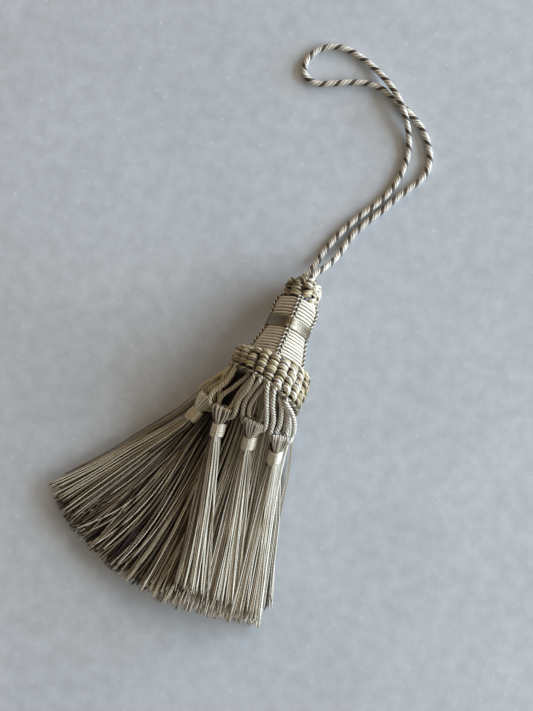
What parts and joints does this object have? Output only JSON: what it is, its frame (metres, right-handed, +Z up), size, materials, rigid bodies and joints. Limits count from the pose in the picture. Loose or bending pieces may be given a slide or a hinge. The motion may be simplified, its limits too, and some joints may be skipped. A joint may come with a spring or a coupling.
{
  "type": "decorative tassel",
  "caption": "Tasselled pendant lying on its side: a hanging cord, a wrapped bottle-shaped head between two knotted ruffs, and a fringe skirt ringed with small tassels on loops.",
  "frame": {"origin": "on the surface, in the middle of the flat spot on which the large ruff rests", "axes": "+Y runs from the fringe skirt to the head along the lying tassel, +Z is up off the surface, +X is to the right"},
  "size_m": [0.0893, 0.2201, 0.031],
  "materials": {
    "cord": "twisted cotton",
    "wrap": "satin cord wraps",
    "band": "satin floss",
    "braid": "twisted cotton",
    "ruff": "wound cotton knots",
    "strand": "twisted yarn",
    "collar": "satin floss"
  },
  "bodies": {
    "root": {"cord": "cord", "top_ruff": "ruff", "head": "wrap", "waist_band": "band", "braid_lower_1": "braid", "braid_lower_2": "braid", "braid_lower_3": "braid", "braid_lower_4": "braid", "braid_upper_1": "braid", "braid_upper_2": "braid", "braid_upper_3": "braid", "braid_upper_4": "braid", "ruff": "ruff", "skirt": "strand", "small_tassel_1": "strand", "small_collar_1": "collar", "small_loop_1a": "cord", "small_loop_1b": "cord", "small_tassel_2": "strand", "small_collar_2": "collar", "small_loop_2a": "cord", "small_loop_2b": "cord", "small_tassel_3": "strand", "small_collar_3": "collar", "small_loop_3a": "cord", "small_loop_3b": "cord", "small_tassel_4": "strand", "small_collar_4": "collar", "small_loop_4a": "cord", "small_loop_4b": "cord", "small_tassel_5": "strand", "small_collar_5": "collar", "small_loop_5a": "cord", "small_loop_5b": "cord", "small_tassel_6": "strand", "small_collar_6": "collar", "small_loop_6a": "cord", "small_loop_6b": "cord"}
  },
  "joints": []
}
